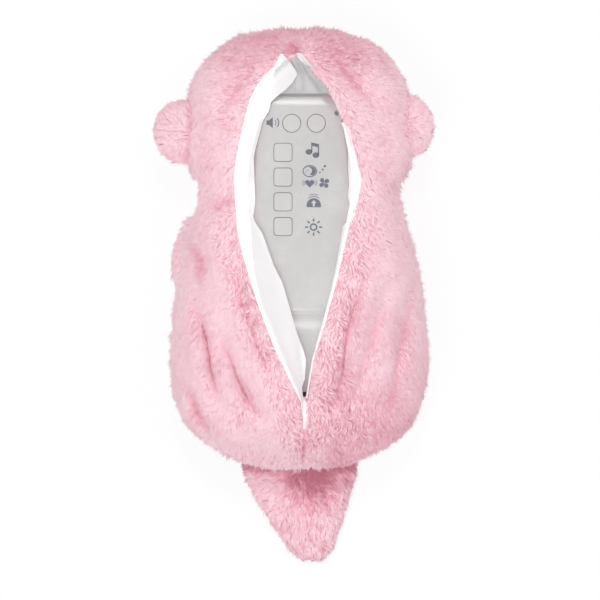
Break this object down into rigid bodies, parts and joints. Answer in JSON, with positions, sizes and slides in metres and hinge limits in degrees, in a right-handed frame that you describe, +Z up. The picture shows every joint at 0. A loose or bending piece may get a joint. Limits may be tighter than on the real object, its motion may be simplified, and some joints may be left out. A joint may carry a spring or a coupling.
{
  "type": "plush night light",
  "caption": "Stuffed otter lying on its front, its back slit open over a sound and light module with push buttons; a breathing belly plate and a lifting tail.",
  "frame": {"origin": "middle of the footprint, on the floor that the toy lies on", "axes": "+Y towards the head along the toy, +Z up through the back, +X to the right when the toy is seen from above with its head away"},
  "size_m": [0.17, 0.324, 0.0958],
  "materials": {
    "plush": "long soft clumped pile, pink",
    "lining": "thin white woven polyester",
    "closure": "white hook-and-loop tape",
    "stitching": "dark satin stitching",
    "nose_fabric": "short velvety fabric",
    "case": "light grey satin moulded plastic",
    "button": "light grey satin moulded plastic",
    "inner_plastic": "plain moulded plastic",
    "gear_plastic": "white acetal",
    "rubber": "matt black rubber",
    "steel": "zinc-plated steel",
    "board": "green solder mask",
    "diffuser": "milky diffusing plastic",
    "cone": "black paper",
    "battery": "plain printed sleeve",
    "wire": "red insulated wire"
  },
  "bodies": {
    "toy": {"head_back_left": "plush", "head_back_right": "plush", "body_back_left": "plush", "body_back_right": "plush", "head_front": "plush", "body_front": "plush", "ear_left": "plush", "ear_right": "plush", "arm_left": "plush", "arm_right": "plush", "foot_left": "plush", "foot_right": "plush", "muzzle": "plush", "nose": "nose_fabric", "eye_left": "stitching", "eye_right": "stitching", "lining_pocket": "lining", "lining_left": "lining", "lining_right": "lining", "lining_top": "lining", "strip_left": "closure", "strip_right": "closure", "control_housing": "case", "front_housing": "case", "battery_door": "case", "case_screw_1": "steel", "case_screw_2": "steel", "case_screw_3": "steel", "case_screw_4": "steel", "gearbox_screw_1": "steel", "gearbox_screw_2": "steel", "door_screw": "steel", "control_board": "board", "speaker_frame": "steel", "speaker_cone": "cone", "speaker_magnet": "steel", "light_diffuser": "diffuser", "lamp_board": "board", "gear_axle": "steel", "motor": "steel", "gearbox_frame": "inner_plastic", "battery_1": "battery", "battery_2": "battery", "battery_3": "battery", "battery_contact_left": "steel", "battery_contact_right": "steel", "end_bumper": "rubber", "wire_harness": "wire"},
    "volume_down": {"button_volume_down": "button"},
    "volume_up": {"button_volume_up": "button"},
    "music": {"button_music": "button"},
    "sleep_sounds": {"button_sleep_sounds": "button"},
    "breathing": {"button_breathing": "button"},
    "light": {"button_light": "button"},
    "belly": {"breathing_plate": "inner_plastic", "belly_patch": "plush"},
    "gear": {"drive_gear": "gear_plastic"},
    "pinion": {"motor_pinion": "gear_plastic"},
    "tail": {"tail": "plush"}
  },
  "joints": [
    {"name": "press_volume_down", "type": "slide", "parent": "toy", "child": "volume_down", "axis": [0, 0, -1], "range_m": [0, 0.0008], "stiffness_N_per_m": 200, "springref_m": -0.0005},
    {"name": "press_volume_up", "type": "slide", "parent": "toy", "child": "volume_up", "axis": [0, 0, -1], "range_m": [0, 0.0008], "stiffness_N_per_m": 200, "springref_m": -0.0005},
    {"name": "press_music", "type": "slide", "parent": "toy", "child": "music", "axis": [0, 0, -1], "range_m": [0, 0.0008], "stiffness_N_per_m": 200, "springref_m": -0.0005},
    {"name": "press_sleep_sounds", "type": "slide", "parent": "toy", "child": "sleep_sounds", "axis": [0, 0, -1], "range_m": [0, 0.0008], "stiffness_N_per_m": 200, "springref_m": -0.0005},
    {"name": "press_breathing", "type": "slide", "parent": "toy", "child": "breathing", "axis": [0, 0, -1], "range_m": [0, 0.0008], "stiffness_N_per_m": 200, "springref_m": -0.0005},
    {"name": "press_light", "type": "slide", "parent": "toy", "child": "light", "axis": [0, 0, -1], "range_m": [0, 0.0008], "stiffness_N_per_m": 200, "springref_m": -0.0005},
    {"name": "belly_breathe", "type": "slide", "parent": "toy", "child": "belly", "axis": [0, 0, 1], "range_m": [0, 0.005]},
    {"name": "gear_turn", "type": "hinge", "parent": "toy", "child": "gear", "pos_m": [0.0045, 0.01704, 0.045], "axis": [1, 0, 0], "range_deg": [-58, 0]},
    {"name": "pinion_turn", "type": "hinge", "parent": "toy", "child": "pinion", "pos_m": [0.0045, 0.02984, 0.045], "axis": [1, 0, 0], "range_deg": [0, 174]},
    {"name": "tail_lift", "type": "hinge", "parent": "toy", "child": "tail", "pos_m": [0.003, -0.09196, 0.0135], "axis": [-1, 0, 0], "range_deg": [0, 25]}
  ],
  "couplings": [
    {"joint": "gear_turn", "follows": "belly_breathe", "rad_per_m": -200},
    {"joint": "pinion_turn", "follows": "belly_breathe", "rad_per_m": 600}
  ]
}
